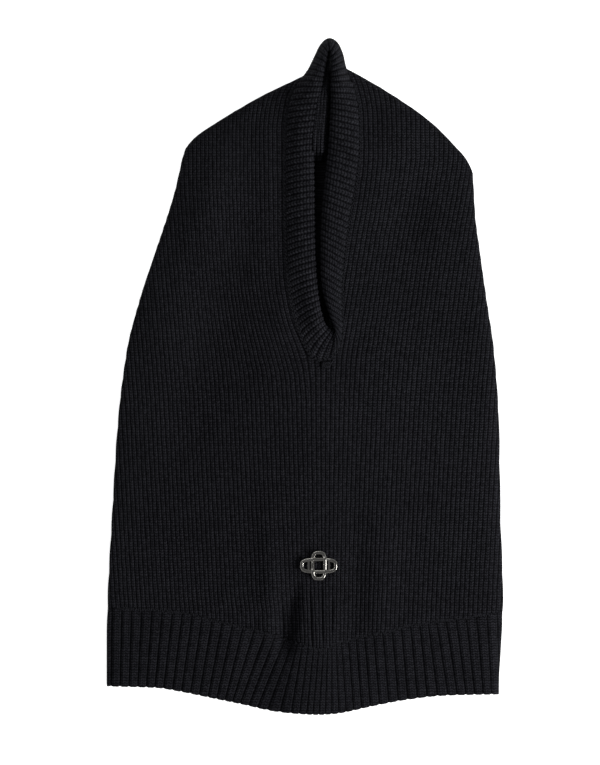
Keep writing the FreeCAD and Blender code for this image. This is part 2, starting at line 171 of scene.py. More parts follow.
def resample_closed(points, along, count):
    """The closed run of points at even steps of its own length, which `along` measures."""
    ring = np.concatenate([points, points[:1]])
    run = lengths_along(ring[:, along])
    return read_columns(ring, run, np.arange(count) / count * run[-1]), run[-1]


def find_edge(low, high, short):
    """The place in each row where `short` turns false, by halving from low to high."""
    for _ in range(34):
        middle = (low + high) / 2
        below = short(middle)
        low = np.where(below, middle, low)
        high = np.where(below, high, middle)
    return (low + high) / 2


# ------------------------------------------------------------------ outlines of the garment

LEFT_SIDE = [(-215, -120.4), (-189, -120.8), (-160, -120.8), (-134, -120.2), (-86, -117.7),
             (-28, -114.1), (16, -108.6), (45, -101.3), (75, -91.5), (97, -84.2), (112, -79.6),
             (126, -76.3), (138, -73.3), (146, -66.8), (155, -53.7), (170, -28.7), (180, -8.0),
             (184.5, 1.0), (189, 10.0)]
RIGHT_SIDE = [(-215, 118.0), (-194, 118.4), (-167, 119.2), (-134, 120.8), (-86, 119.3),
              (-28, 118.3), (16, 115.2), (45, 111.0), (75, 106.8), (97, 103.9), (112, 103.0),
              (124, 102.2), (133, 98.0), (141, 91.0), (155, 76.9), (170, 56.1), (184.5, 31.7),
              (189, 23.0)]
CROWN = [(-8, 184.5), (4, 184.5), (14, 186.5), (24, 189.0), (34, 189.0)]
JOIN = [(-121, -141.0), (-95, -142.5), (-71, -145.0), (-54, -149.5), (-39, -152.8),
        (-21, -157.1), (-11, -160.7), (3, -165.0), (11, -166.0), (18, -163.5), (31, -159.5),
        (48, -155.9), (60, -152.8), (77, -149.8), (94, -147.9), (108, -146.0), (121, -143.0)]
LOWER_EDGE = [(-121, -189.4), (-91, -190.2), (-77, -192.3), (-62, -195.3), (-40, -199.8),
              (-18, -204.4), (-4, -205.7), (8, -206.2), (18, -205.7), (26, -204.5),
              (40, -201.4), (62, -197.3), (84, -194.9), (106, -194.3), (121, -194.2)]


def left_side(y):
    return curve(LEFT_SIDE, y)


def right_side(y):
    return curve(RIGHT_SIDE, y)


def crown(x):
    return curve(CROWN, x)


def fold_line():
    """The silhouette from the left hem corner over the crown to the right hem corner."""
    up = np.linspace(-215, 189, 120)
    left = np.stack([left_side(up), up], 1)
    left = left[left[:, 1] < crown(left[:, 0]) + 0.01]
    right = np.stack([right_side(up), up], 1)[::-1]
    return np.concatenate([left, right])


FOLD = fold_line()

GRID_STEP = 1.25
GRID_X = np.arange(-127.5, 128, GRID_STEP)
GRID_Y = np.arange(-217.5, 212, GRID_STEP)


def depth_grid():
    """Distance in from the silhouette at each point of an even grid, negative outside it."""
    x, y = np.meshgrid(GRID_X, GRID_Y)
    nearest = np.full(x.shape, 1e9)
    for start, end in zip(FOLD[:-1], FOLD[1:]):
        run = end - start
        share = np.clip(((x - start[0]) * run[0] + (y - start[1]) * run[1]) / (run @ run), 0, 1)
        gap = (x - start[0] - share * run[0]) ** 2 + (y - start[1] - share * run[1]) ** 2
        nearest = np.minimum(nearest, gap)
    inside = (x > left_side(y)) & (x < right_side(y)) & (y < crown(x))
    return np.where(inside, 1, -1) * np.sqrt(nearest)


DEPTH = depth_grid()


def depth_inside(x, y):
    """Distance in from the silhouette, read between the points of the grid."""
    across = np.clip((np.asarray(x) - GRID_X[0]) / GRID_STEP, 0, len(GRID_X) - 1.001)
    along = np.clip((np.asarray(y) - GRID_Y[0]) / GRID_STEP, 0, len(GRID_Y) - 1.001)
    column, row = across.astype(int), along.astype(int)
    right, up = across - column, along - row
    low = DEPTH[row, column] * (1 - right) + DEPTH[row, column + 1] * right
    high = DEPTH[row + 1, column] * (1 - right) + DEPTH[row + 1, column + 1] * right
    return low * (1 - up) + high * up


# ------------------------------------------------------------------ how the wales run

CENTRE = [(-170, 11.0), (-110, 10.0), (-20, 9.5), (200, 9.5)]   # centre front, x by y
LEFT_PITCH, RIGHT_PITCH = 2.62, 2.87                             # one rib, away from the centre
NEAR_LEFT = 4.3                                                  # extra width of the ribs there
FORK = -14.0                                                     # the wales part above this y
LEFT_NEAR = [(-14, 0), (0, -1.3), (12, -4.4), (25, -8.8), (43, -13.8), (62, -16.6), (84, -17.4),
             (114, -17.7), (150, -18.0), (168, -15.5), (178, -11.0), (186, -5.5)]
LEFT_FAR = [(-14, 0), (40, -4.4), (90, -8.6), (125, -10.5), (185, -10.0)]
RIGHT_NEAR = [(-14, 0), (10, 1.2), (30, 4.4), (50, 7.8), (84, 13.2), (114, 18.3), (136, 20.4),
              (160, 20.0), (175, 17.5), (189, 12.0)]
RIGHT_FAR = [(-14, 0), (10, 2.4), (50, 7.0), (84, 12.0), (114, 17.4), (136, 20.6), (185, 21.0)]
LEFT_RIBS, RIGHT_RIBS = 51, 42


def wale_x(wale, y):
    """Where a wale lies. Wales count from the centre front, negative to the left."""
    count = np.abs(wale)
    below = np.minimum(y - FORK, 0)
    near = np.exp(-(count / 17.0) ** 2)
    parting = 1 - np.exp(-(count / 2.2) ** 2) * (1 - ramp(y, 11, 32))
    left = (
        -LEFT_PITCH * count - NEAR_LEFT * (1 - np.exp(-count / 10.0))
        + (curve(LEFT_NEAR, y) * near + curve(LEFT_FAR, y) * (1 - near)) * parting
        - 0.052 * (1 - np.exp(-count / 8.0)) * below
    )
    right = (
        RIGHT_PITCH * count
        + (curve(RIGHT_NEAR, y) * near + curve(RIGHT_FAR, y) * (1 - near)) * parting
        + 0.070 * (1 - np.exp(-count / 10.0)) * below
    )
    pucker = 0.55 * bell(wale, -19.0, 11.0) * bell(y, -139, 12.0) * np.sin((y + 160) / 7.5)
    drift = (
        0.16 * np.sin(y / 17.0 + 1.3 * count) * np.sin(0.7 * count + y / 41.0)
        + 0.10 * np.sin(y / 2.6 + 0.9 * count + 3.0 * np.sin(count / 3.3))
        * np.sin(y / 19.0 + 0.37 * count)
    )
    return curve(CENTRE, y) + np.where(wale < 0, left, right) + pucker + drift * np.minimum(count, 1)


def body_place(wale, rise):
    """Point of the body at a wale, rise running from 0 at the join to 1 at the crown."""
    y = -160 + 345 * rise + 0 * wale
    for _ in range(4):
        x = wale_x(wale, y)
        y = curve(JOIN, x) * (1 - rise) + crown(x) * rise
    return wale_x(wale, y), y


def find_wale(rise, side, bound):
    """The wale of each row at which the row meets a boundary x = bound(y)."""
    ribs = LEFT_RIBS if side < 0 else RIGHT_RIBS

    def within(count):
        x, y = body_place(side * count, rise)
        return side * (bound(y) - x) > 0

    return side * find_edge(np.zeros_like(rise), np.full_like(rise, ribs + 6.0), within)


# ------------------------------------------------------------------ heights of the layers

TRIM_AXIS = [(-20, 10), (20, 8), (60, 6), (120, 10), (185, 15)]     # slot's middle, x by y
# Soft folds of the front layer: x and y of the middle, heading in degrees, half length,
# half width, height (negative for a hollow).
SOFT_FOLDS = [
    (-60, 104, 79, 44, 15, 3.0), (-23, 122, 86, 60, 8, 1.5), (-14, 40, 77, 36, 9, 1.9),
    (-55, 26, 73, 48, 16, -2.9), (67, 99, 65, 36, 15, -1.8), (80, 86, 96, 36, 9, 0.9),
    (60, 140, 170, 42, 12, 2.6), (61, 156, 68, 16, 14, 2.9),
    (-22, -122, 91, 38, 6.5, 1.8), (46, -130, 86, 42, 10, 2.1), (31, -112, 88, 30, 7, -1.5),
    (26, 14, 55, 12, 5.5, -1.0), (-88, 34, 78, 60, 13, 0.8), (-92, -150, 96, 30, 10, 0.5),
    (8.5, -115, 0, 15, 9, 0.65), (-38, 160, 25, 26, 9, -1.3), (58, 166, 150, 22, 9, -1.2),
]
CREASE = [(-180, -12.0), (-165, -11.2), (-128, -6.3), (-110, -4.8)]     # x by y


def soft_folds(x, y):
    height = 0 * x
    for middle_x, middle_y, heading, length, width, rise in SOFT_FOLDS:
        turn = math.radians(heading)
        along = (x - middle_x) * math.cos(turn) + (y - middle_y) * math.sin(turn)
        across = (y - middle_y) * math.cos(turn) - (x - middle_x) * math.sin(turn)
        height = height + rise * np.exp(-(along / length) ** 2 - (across / width) ** 2)
    return height


TOP_X = 8                          # the line along which the front is highest
TOP_ROUND = 8                      # how far the rounding of that line reaches
SLOPE_LEFT, SLOPE_RIGHT = -0.062, -0.055
RIGHT_EASE = 0.00015               # how much the slope on the right flattens outwards
CROWN_FALL = 3.6


def fall(x, y):
    """How far the front layer sinks from its centre to the sides and to the crown."""
    away = np.sqrt((x - TOP_X) ** 2 + TOP_ROUND ** 2) - TOP_ROUND
    to_right = SLOPE_RIGHT * away + RIGHT_EASE * away ** 2
    return np.where(x < TOP_X, SLOPE_LEFT * away, to_right) - CROWN_FALL * ramp(y, 126, 192)


def relief(x, y):
    """Folds and unevenness of the front layer, in millimetres above its plain height."""
    ridge_x = curve([(-190, 3.5), (-172, 5.0), (-158, 8.5), (-100, 8.0)], y)
    ridge_half = 12.5 + 4.5 * ramp(-y, 160, 178)
    ridge = 2.3 * np.exp(-(np.abs(x - ridge_x) / ridge_half) ** 3) * ramp(-y, 124, 156)
    ridge = ridge - 1.1 * bell(x, -29, 11) * ramp(-y, 146, 166)
    crease_x = curve(CREASE, y)
    side = np.where(x < crease_x, 7.5, 4.4)
    crease = -4.5 * np.exp(-((x - crease_x) / side) ** 2) * ramp(-y, 116, 146)
    crease = crease * (1 - ramp(-y, 160, 178))
    spread = bell(x, -36, 26) * bell(y, -136, 15)
    pucker = 0.28 * spread * np.sin(2 * np.pi * (0.55 * x - 0.85 * y) / 14)
    gap = x - curve(TRIM_AXIS, y)
    lift = 0.8 * np.exp(-(gap / 24) ** 2) * ramp(y, -4, 30)
    lift = lift + 1.5 * np.exp(-(gap / 42) ** 2) * ramp(gap, -8, 8) * ramp(y, 50, 90)
    sway = (
        0.22 * np.sin(x / 23 + 0.6) * np.sin(y / 37 + 1.1)
        + 0.14 * np.sin(x / 11 + y / 29 + 2.0)
        + 0.12 * np.sin(y / 13 - x / 41)
    )
    join_gap = y - curve(JOIN, x)
    groove = -0.12 * np.exp(-(join_gap / 2.2) ** 2)
    return ridge + crease + pucker + lift + sway + groove + soft_folds(x, y)


def read_height(height, x, y):
    return float(height(np.array([x]), np.array([y]))[0])


def rounding(depth, reach):
    part = np.clip(depth / reach, 0, 1)
    return np.sqrt(np.clip(1 - (1 - part) ** 2, 0, 1))


def front_height(x, y, sink=0.0):
    """Height of the front layer, or of its inner face where sink is the layer's thickness."""
    depth = np.clip(depth_inside(x, y) - sink, 0, None)
    top = FRONT_Z - sink + fall(x, y) + relief(x, y) * ramp(depth, 0, 20)
    return FOLD_Z + (top - FOLD_Z) * rounding(depth, FOLD_REACH - sink)


def back_height(x, y, sink=0.0):
    depth = np.clip(depth_inside(x, y) - sink, 0, None)
    low = BACK_Z + sink
    return FOLD_Z + (low - FOLD_Z) * rounding(depth, FOLD_REACH * 0.8 - sink)


def back_inner_height(x, y):
    return back_height(x, y, BACK_LAYER)


def outward(height, x, y, up):
    """Unit normals of a height field, from small steps in x and y."""
    step = 0.25
    slope_x = (height(x + step, y) - height(x - step, y)) / (2 * step)
    slope_y = (height(x, y + step) - height(x, y - step)) / (2 * step)
    return unit(np.stack([-slope_x, -slope_y, np.ones_like(slope_x)], -1)) * up


# ------------------------------------------------------------------ meshes


def weld(points, faces, face_uv):
    """Joins points that meet, turns quads with a closed side to triangles, drops flat ones."""
    keys = np.round(points / 0.002).astype(np.int64)
    _, first, joined = np.unique(keys, axis=0, return_index=True, return_inverse=True)
    faces = joined.reshape(-1)[faces]
    same = faces == np.roll(faces, -1, 1)
    crossed = (faces[:, 0] == faces[:, 2]) | (faces[:, 1] == faces[:, 3])
    whole = (same.sum(1) == 0) & ~crossed
    part = (same.sum(1) == 1) & ~crossed
    kept = ~same[part]
    threes = faces[part][kept].reshape(-1, 3)
    corner_uv = np.concatenate([face_uv[whole].reshape(-1, 2), face_uv[part][kept]])
    return points[first], faces[whole], threes, corner_uv


def link_mesh(name, points, faces, corner_uv, smooth=True):
    """Put a mesh into the scene as a piece, with its stitch coordinates."""
    mesh = bpy.data.meshes.new(name)
    mesh.from_pydata((points * MM).tolist(), [], faces)
    mesh.uv_layers.new(name="knit").data.foreach_set("uv", corner_uv.ravel())
    mesh.polygons.foreach_set("use_smooth", [smooth] * len(mesh.polygons))
    piece = bpy.data.objects.new(name, mesh)
    bpy.context.scene.collection.objects.link(piece)
    return piece


def new_object(name, points, faces, uv=None, smooth=True):
    """A mesh piece from points and quads. uv is held for each point, or each face corner."""
    points, faces = np.asarray(points, float), np.asarray(faces)
    if uv is not None and len(uv) == len(points) and np.ndim(uv) == 2:
        uv = np.asarray(uv, float)[faces]
    if uv is None:
        uv = np.zeros((len(faces), 4, 2))
    points, quads, threes, corner_uv = weld(points, faces, uv)
    first, second, third = points[quads[:, 0]], points[quads[:, 1]], points[quads[:, 2]]
    fourth = points[quads[:, 3]]
    volume = (np.cross(first, second) * third).sum() + (np.cross(first, third) * fourth).sum()
    if volume < 0:
        quads, threes = quads[:, ::-1], threes[:, ::-1]
        split = len(quads) * 4
        corner_uv = np.concatenate([
            corner_uv[:split].reshape(-1, 4, 2)[:, ::-1].reshape(-1, 2),
            corner_uv[split:].reshape(-1, 3, 2)[:, ::-1].reshape(-1, 2),
        ])
    return link_mesh(name, points, quads.tolist() + threes.tolist(), corner_uv, smooth)


def grid_faces(rows, columns, offset=0, flip=False):
    start = np.arange(rows - 1)[:, None] * columns + np.arange(columns - 1)[None, :]
    faces = np.stack([start, start + 1, start + columns + 1, start + columns], -1).reshape(-1, 4)
    faces = faces + offset
    return faces[:, ::-1] if flip else faces


def shell(name, outer, inner, uv):
    """Closed piece between two grids of points, with a rim round their edges."""
    rows, columns, _ = outer.shape
    size = rows * columns
    border = np.concatenate([
        np.arange(columns),
        np.arange(1, rows) * columns + columns - 1,
        (rows - 1) * columns + np.arange(columns - 1)[::-1],
        np.arange(1, rows - 1)[::-1] * columns,
    ])
    following = np.roll(border, -1)
    rim = np.stack([border, border + size, following + size, following], -1)
    faces = np.concatenate([grid_faces(rows, columns), grid_faces(rows, columns, size, True), rim])
    points = np.concatenate([outer.reshape(-1, 3), inner.reshape(-1, 3)])
    return new_object(name, points, faces, np.concatenate([uv.reshape(-1, 2)] * 2))


def ring_shell(name, outer, inner, uv, period):
    """Closed piece between two grids whose last row leads on to the first."""
    rows, columns, _ = outer.shape
    size = rows * columns
    start = np.arange(rows)[:, None] * columns + np.arange(columns - 1)[None, :]
    above = np.roll(start, -1, 0)
    outside = np.stack([start, start + 1, above + 1, above], -1).reshape(-1, 4)
    inside = outside[:, ::-1] + size
    low, low_above = start[:, 0], above[:, 0]
    high, high_above = start[:, -1] + 1, above[:, -1] + 1
    faces = np.concatenate([
        outside, inside,
        np.stack([low, low_above, low_above + size, low + size], -1),
        np.stack([high, high + size, high_above + size, high_above], -1),
    ])
    points = np.concatenate([outer.reshape(-1, 3), inner.reshape(-1, 3)])
    face_uv = np.concatenate([uv.reshape(-1, 2)] * 2)[faces]
    wraps = (face_uv[..., 0].max(1) - face_uv[..., 0].min(1)) > period / 2
    small = face_uv[..., 0] < period / 2
    face_uv[..., 0] += np.where(wraps[:, None] & small, period, 0)
    return new_object(name, points, faces, face_uv)


def single_rib(wale):
    """Height of a fine 1x1 rib across its width, 0 in the valley and 1 on the crest."""
    return np.abs(np.sin(np.pi * wale)) ** 0.75


def double_rib(wale):
    """Height of a 2x2 rib: a broad crest of two wales between narrow valleys."""
    part = wale - np.floor(wale)
    valley = np.exp(-(part / 0.15) ** 2) + np.exp(-((1 - part) / 0.15) ** 2)
    groove = 0.14 * np.exp(-((part - 0.5) / 0.09) ** 2)
    return 1 - valley - groove


FRONT_RIB, BACK_RIB = 0.37, 0.45   # heights of the fine ribs
HEM_RIB, HEM_BACK_RIB = 0.62, 0.5  # heights of the hem's ribs
DEEP_VALLEY, DEEP_WIDTH = 1.0, 0.34
# Wales whose valley is drawn in deeper: the wale, and its lower and upper end by y.
DEEP_WALES = [(-10, -172, -128), (-3, -168, -124), (0, -166, -124), (3, -160, -128)]
COURSE = 1.62                      # height of one stitch


def ribbed_layer(name, x, y, height, up, ribs, layer, uv):
    """One layer of knit: the ribs stand out of its outer face, and its inner face is plain."""
    outer = np.stack([x, y, height(x, y)], -1) + outward(height, x, y, up) * ribs[..., None]
    inner = np.stack([x, y, height(x, y, layer)], -1)
    return shell(name, outer, inner, np.stack(uv, -1))


def knit_body(name, wales, rows, height, up, bounds, rib_depth, layer):
    """A layer of the body: a grid along the wales, cut off at its two boundaries."""
    rise = np.linspace(0, 1, rows)
    left_end, right_end = bounds(rise)
    wale = np.clip(wales[None, :], left_end[:, None], right_end[:, None])
    rise_grid = np.broadcast_to(rise[:, None], wale.shape)
    x, y = body_place(wale, rise_grid)
    uneven = 1 + 0.16 * np.sin(1.9 * np.floor(wale) + y / 23.0) * np.sin(y / 9.0 + wale)
    join_fade = 0.6 + 0.4 * ramp(y - curve(JOIN, x), 0, 5)
    ribs = single_rib(wale) * rib_depth * uneven * join_fade
    if up > 0:
        for number, low, high in DEEP_WALES:
            reach = ramp(y, low, low + 10) * (1 - ramp(y, high - 14, high))
            ribs = ribs - DEEP_VALLEY * bell(wale, number, DEEP_WIDTH) * reach
    uv = [wale, (y - JOIN[0][1]) / COURSE]
    return ribbed_layer(name, x, y, height, up, ribs, layer, uv)


LEFT_CUT = [(9, 9.5), (14, 6.6), (20, 4.6), (27, 3.2), (43, -0.5),
            (62, -2.0), (84, -3.0), (147, -3.6), (168, -0.5), (180, 4.5), (190, 9.5)]
RIGHT_CUT = [(9, 9.5), (14, 14.0), (20, 18.6), (27, 20.8), (40, 19.0), (55, 16.4), (77, 17.0),
             (99, 19.0), (121, 22.0), (147, 24.0), (166, 24.0), (180, 22.5), (190, 18.0)]


def find_cut(rise, side, points):
    """The wale of each row at the edge of the face opening, and 0 below the opening."""
    _, centre_y = body_place(np.zeros_like(rise), rise)
    cut = find_wale(rise, side, lambda y: curve(points, y))
    return np.where(centre_y < points[0][0], 0.0, cut)


def left_bounds(rise):
    return find_wale(rise, -1, left_side), find_cut(rise, -1, LEFT_CUT)


def right_bounds(rise):
    return find_cut(rise, 1, RIGHT_CUT), find_wale(rise, 1, right_side)


def back_bounds(rise):
    return find_wale(rise, -1, left_side), find_wale(rise, 1, right_side)


def make_body():
    """The front in two halves that meet at the centre wale, and the back."""
    left_wales = np.linspace(-LEFT_RIBS, 0, LEFT_RIBS * 6 + 1)
    right_wales = np.linspace(0, RIGHT_RIBS, RIGHT_RIBS * 7 + 1)
    back_wales = np.linspace(-LEFT_RIBS, RIGHT_RIBS, (LEFT_RIBS + RIGHT_RIBS) * 4 + 1)
    left = knit_body("front_panel_left", left_wales, 150, front_height, 1, left_bounds,
                     FRONT_RIB, FRONT_LAYER)
    right = knit_body("front_panel_right", right_wales, 150, front_height, 1, right_bounds,
                      FRONT_RIB, FRONT_LAYER)
    back = knit_body("back_panel_knit", back_wales, 110, back_height, -1, back_bounds,
                     BACK_RIB, BACK_LAYER)
    return left, right, back


# ------------------------------------------------------------------ hem bands

HEM_LEAN = [(-120, 0.5), (-106, 2), (-85, 6), (-60, 9), (-45, 12), (-33, 17), (-19, 19),
            (-4, 7), (10, 3), (25, -3.5), (70, -5), (85, -8), (100, -6), (118, -2)]
HEM_TALL = 50.0


def hem_ribs():
    """x of each hem rib at half the band's height, by rib number."""
    x = np.linspace(-124, 124, 1200)
    width = 5.75 - 2.55 * bell(x, 11, 19)
    number = np.concatenate([[0.0], np.cumsum(np.diff(x) / ((width[1:] + width[:-1]) / 2))])
    return x, number


HEM_X, HEM_NUMBER = hem_ribs()
HEM_COUNT = HEM_NUMBER[-1]


def hem_place(rib, rise):
    """Point of the hem band at a rib, rise running from 0 at the lower edge to 1 at the join."""
    middle = np.interp(rib, HEM_NUMBER, HEM_X)
    x = middle + (rise - 0.5) * HEM_TALL * np.tan(np.radians(curve(HEM_LEAN, middle)))
    y = curve(LOWER_EDGE, x) * (1 - rise) + curve(JOIN, x) * rise
    return x, y


def find_rib(rise, bound):
    """The rib of each row at which the row meets a side fold."""
    def short(rib):
        x, y = hem_place(rib, rise)
        return x < bound(y)

    return find_edge(np.zeros_like(rise), np.full_like(rise, HEM_COUNT), short)


def hem_front_height(x, y, sink=0.0):
    swell = 0.35 * ramp(curve(JOIN, x) - y, 0, 9) * rounding(depth_inside(x, y) - sink, 14)
    droop = -1.3 * (1 - ramp(y - curve(LOWER_EDGE, x), -1, 6))
    return front_height(x, y, sink) + swell + droop


def make_hem(name, height, up, depth, per_rib, layer):
    """A layer of the hem: a grid along its 2x2 ribs, cut off at the two side folds."""
    rise = np.linspace(0, 1, 30)
    ribs = np.linspace(0, HEM_COUNT, int(HEM_COUNT * per_rib))
    rib = np.clip(ribs[None, :], find_rib(rise, left_side)[:, None],
                  find_rib(rise, right_side)[:, None])
    rise_grid = np.broadcast_to(rise[:, None], rib.shape)
    x, y = hem_place(rib, rise_grid)
    crest = double_rib(rib)
    y = y + 0.45 * (1 - crest) * (1 - ramp(rise_grid, 0, 0.05))      # scalloped lower edge
    fade = (0.5 + 0.5 * ramp(rise_grid, 0, 0.035)) * (0.25 + 0.75 * ramp(1 - rise_grid, 0, 0.2))
    deeper = 1 - 0.35 * bell(x, 11, 30)
    uv = [rib * 2, (y + 200) / COURSE]
    return ribbed_layer(name, x, y, height, up, crest * depth * fade * deeper, layer, uv)


# ------------------------------------------------------------------ trim round the face opening

# Pairs of points: outer foot of the band (x, y), then the lip at the slot (x, y).
# They run from the lower end up the left side, over the peak and down the right side.
TRIM_PAIRS = [
    (8.6, 10.6, 18.0, 26.8), (4.0, 13.4, 16.2, 28.0), (0.0, 19.5, 13.4, 30.6),
    (-3.2, 28.0, 10.8, 36.0), (-7.6, 43.0, 8.2, 48.5), (-10.1, 62.5, 6.6, 66.5),
    (-11.2, 88.0, 5.8, 90.5), (-11.8, 115.0, 5.5, 116.5), (-11.6, 142.0, 5.4, 143.0),
    (-9.8, 165.0, 8.4, 165.5), (-4.4, 178.5, 10.3, 178.0), (2.0, 187.0, 11.4, 184.5),
    (6.0, 195.0, 12.9, 191.0), (9.8, 202.4, 14.1, 196.8), (14.6, 206.2, 14.8, 199.4),
    (19.4, 204.0, 15.4, 196.8), (22.7, 197.5, 15.8, 192.0), (24.8, 188.5, 16.0, 185.0),
    (29.6, 175.5, 15.9, 175.5), (32.3, 161.0, 15.8, 164.0), (32.6, 138.0, 14.7, 143.0),
    (29.8, 115.0, 12.6, 121.0), (25.8, 92.0, 10.4, 98.5), (23.2, 68.0, 9.8, 75.5),
    (22.0, 50.0, 10.4, 57.0), (22.4, 38.0, 13.0, 44.0), (22.6, 28.0, 16.6, 33.5),
    (20.4, 17.5, 18.8, 28.0), (14.6, 11.2, 19.0, 26.6),
]
TRIM_RIB = 3.6                     # length of the band's middle line to a rib
PER_TRIM_RIB = 9                   # rows of the mesh to a rib
TRIM_WALL = 1.9                    # thickness of one layer of the band
TRIM_WIDE = 15.0                   # width of the band that its section is spaced for
TRIM_CREST = 0.98                  # height of its ribs
# Across the folded band, from its foot on the panel, over the fold at the slot and back under
# the panel: share of the way from foot to lip, and height over the panel.
TRIM_SECTION = [(0.0, -0.5), (0.012, 1.6), (0.06, 3.3), (0.20, 5.0), (0.44, 6.1), (0.70, 6.4),
                (0.89, 5.5), (0.985, 3.6), (1.0, 1.0), (0.965, -1.8), (0.86, -3.9),
                (0.62, -4.9), (0.32, -4.8), (0.04, -4.5)]


def trim_path():
    path = closed_curve(TRIM_PAIRS)
    middle = (path[:, :2] + path[:, 2:]) / 2
    return np.concatenate([path, middle], 1)


TRIM_PATH = trim_path()


def trim_points(path, section):
    """Points of the band before its ribs, for each step of the path and of the section."""
    foot, lip = path[:, :2], path[:, 2:4]
    foot_z = np.minimum(front_height(foot[:, 0], foot[:, 1]), FRONT_Z + 0.6)
    beyond = ramp(foot[:, 1], 170, 190)
    foot_z = foot_z * (1 - beyond) + 8.0 * beyond
    lip_z = FRONT_Z + 0.1 - 2.2 * ramp(foot[:, 1], 180, 204)
    tall = 1 - 0.42 * (1 - ramp(path[:, 5], 12, 40)) - 0.16 * ramp(path[:, 5], 178, 200)
    low_side = 0.30 - 0.42 * bell(foot[:, 1], 38, 20)
    tall = tall * (1 - low_side * ramp(lip[:, 0] - foot[:, 0], 0, 8))
    share = section[None, :, 0]
    over = ramp(share, 0, 0.6)
    base = foot_z[:, None] * (1 - over) + lip_z[:, None] * over
    height = section[None, :, 1] * np.where(section[None, :, 1] > 0, tall[:, None], 1.0)
    gentle = (0.5 + 0.4 * bell(foot[:, 1], 34, 18)) * ramp(lip[:, 0] - foot[:, 0], 0, 8)
    flank = (0.55 + 0.36 * bell(foot[:, 1], 38, 20))[:, None]
    gentle = gentle[:, None] * (1 - ramp(share / flank, 0, 1))
    gentle = gentle * (1 - ramp(foot[:, 1], 150, 176))[:, None]
    height = np.where(height > 0, height * (1 - gentle), height)
    height = np.where(section[None, :, 1] < 0, height * (1 - 0.35 * beyond[:, None]), height)
    x = foot[:, None, 0] * (1 - share) + lip[:, None, 0] * share
    y = foot[:, None, 1] * (1 - share) + lip[:, None, 1] * share
    return np.stack([x, y, base + height], -1)


def make_trim():
    _, length = resample_closed(TRIM_PATH, [4, 5], 10)
    ribs = round(length / TRIM_RIB)
    count = ribs * PER_TRIM_RIB
    path, _ = resample_closed(TRIM_PATH, [4, 5], count)
    section, across = resample_open(open_curve(TRIM_SECTION) * [TRIM_WIDE, 1.0], 42)
    section = section / [TRIM_WIDE, 1.0]
    points = trim_points(path, section)
    normal = unit(np.cross(ahead_along(points), np.gradient(points, axis=1)))
    if normal[:, 12, 2].mean() < 0:
        normal = -normal
    bend = 0.55 * ramp(path[:, 2] - path[:, 0], 4, 12) * (1 - ramp(path[:, 5], 160, 190))
    along = np.arange(count)[:, None] / PER_TRIM_RIB
    along = along + bend[:, None] * (1 - section[None, :, 0]) ** 2
    crest = 0.5 - 0.5 * np.cos(2 * np.pi * along)
    crest = crest ** 0.8 * (1 + 0.14 * np.sin(1.9 * np.floor(along)))
    reach = np.arange(len(section)) / len(section)
    share = ramp(reach, 0.0, 0.10) * (1 - 0.45 * ramp(reach, 0.38, 0.46))
    share = share * (1 - 0.8 * ramp(reach, 0.50, 0.62))
    beyond = (1 - 0.35 * ramp(path[:, 5], 180, 198)) * (0.62 + 0.38 * ramp(path[:, 5], 22, 50))
    outer = points + normal * (TRIM_CREST * crest * beyond[:, None] * share[None, :])[..., None]
    inner = points - normal * TRIM_WALL * ramp(reach, -0.2, 0.06)[None, :, None]
    uv = np.stack(np.broadcast_arrays(along, (reach * across / COURSE)[None, :]), -1)
    return ring_shell("face_trim_band", outer, inner, uv, ribs)


LINING_LOW, LINING_TALL = 131.5, 69.5      # its lower end, and its length
LINING_RIBS = 5.2                          # ribs across it
LINING_WALL = 1.6
LINING_CLEAR = 2.2                         # least height over the back layer, with its wall


def make_inner_knit():
    """The knit seen inside the upper slot, which hangs from the left band and turns down."""
    rise = np.linspace(0, 1, 96)
    across = np.linspace(0, 1, 70)
    y = LINING_LOW + LINING_TALL * rise
    left = curve([(134, 4.6), (143, 4.6), (165, 7.0), (178, 9.0), (191, 10.6), (201, 11.6)], y)
    right = curve([(134, 16.4), (162, 17.4), (178, 17.4), (191, 17.6), (201, 17.0)], y)
    x = left[:, None] * (1 - across) + right[:, None] * across
    y_grid = np.broadcast_to(y[:, None], x.shape)
    slack = 0.8 * np.exp(-((y_grid - 138) / 3.5) ** 2 - ((x - 8.6) / 3.0) ** 2)
    place = across[None, :] + 0.12 * (1 - rise[:, None])
    loops = 1.1 * single_rib(across * LINING_RIBS)[None, :] + 2.2 * ramp(across, 0.3, 0.8)[None, :]
    deep = ramp(y_grid, 168, 184)
    z = FRONT_Z + 4.1 + slack - (9.6 - 3.4 * deep) * ramp(place, 0.54, 1.0) - 6.6 * deep
    z = z - 8.0 * (1 - ramp(y_grid + loops, 133.5, 139.5))
    z = np.maximum(z, BACK_HIGH[2] + LINING_CLEAR)
    ribs = 0.5 * single_rib(across[None, :] * LINING_RIBS + 0.25 * np.sin(y_grid / 9))
    outer = np.stack([x, y_grid, z + ribs], -1)
    inner = np.stack([x, y_grid, z - LINING_WALL], -1)
    uv = np.stack(np.broadcast_arrays(across[None, :] * LINING_RIBS, y_grid / COURSE), -1)
    return shell("face_trim_lining", outer, inner, uv)


# ------------------------------------------------------------------ yarn details


